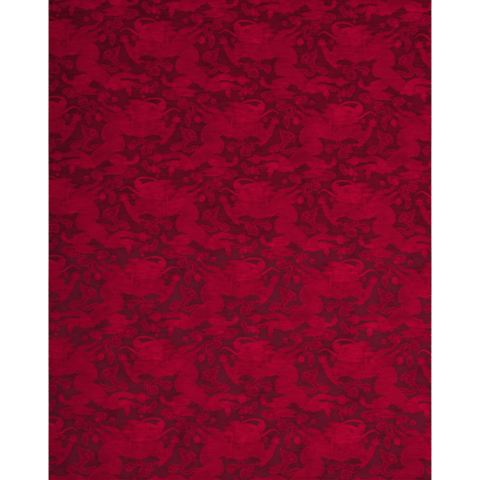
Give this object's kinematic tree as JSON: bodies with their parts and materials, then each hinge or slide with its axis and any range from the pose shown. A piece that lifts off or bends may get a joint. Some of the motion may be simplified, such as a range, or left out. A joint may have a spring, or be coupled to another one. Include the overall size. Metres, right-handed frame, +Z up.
{
  "type": "damask fabric",
  "caption": "Flat cut length of figured red silk damask, face up, for cushions, robes, linings or table covers.",
  "frame": {"origin": "middle of the underside, on the surface that the cloth lies on", "axes": "+X across the loom along the weft, +Y along the cloth along the warp, +Z up out of the face"},
  "size_m": [0.7371, 0.9393, 0.0015],
  "materials": {
    "red_silk_damask": "dull satin ground with a brighter raised figure"
  },
  "bodies": {
    "root": {"damask_length": "red_silk_damask"}
  },
  "joints": []
}
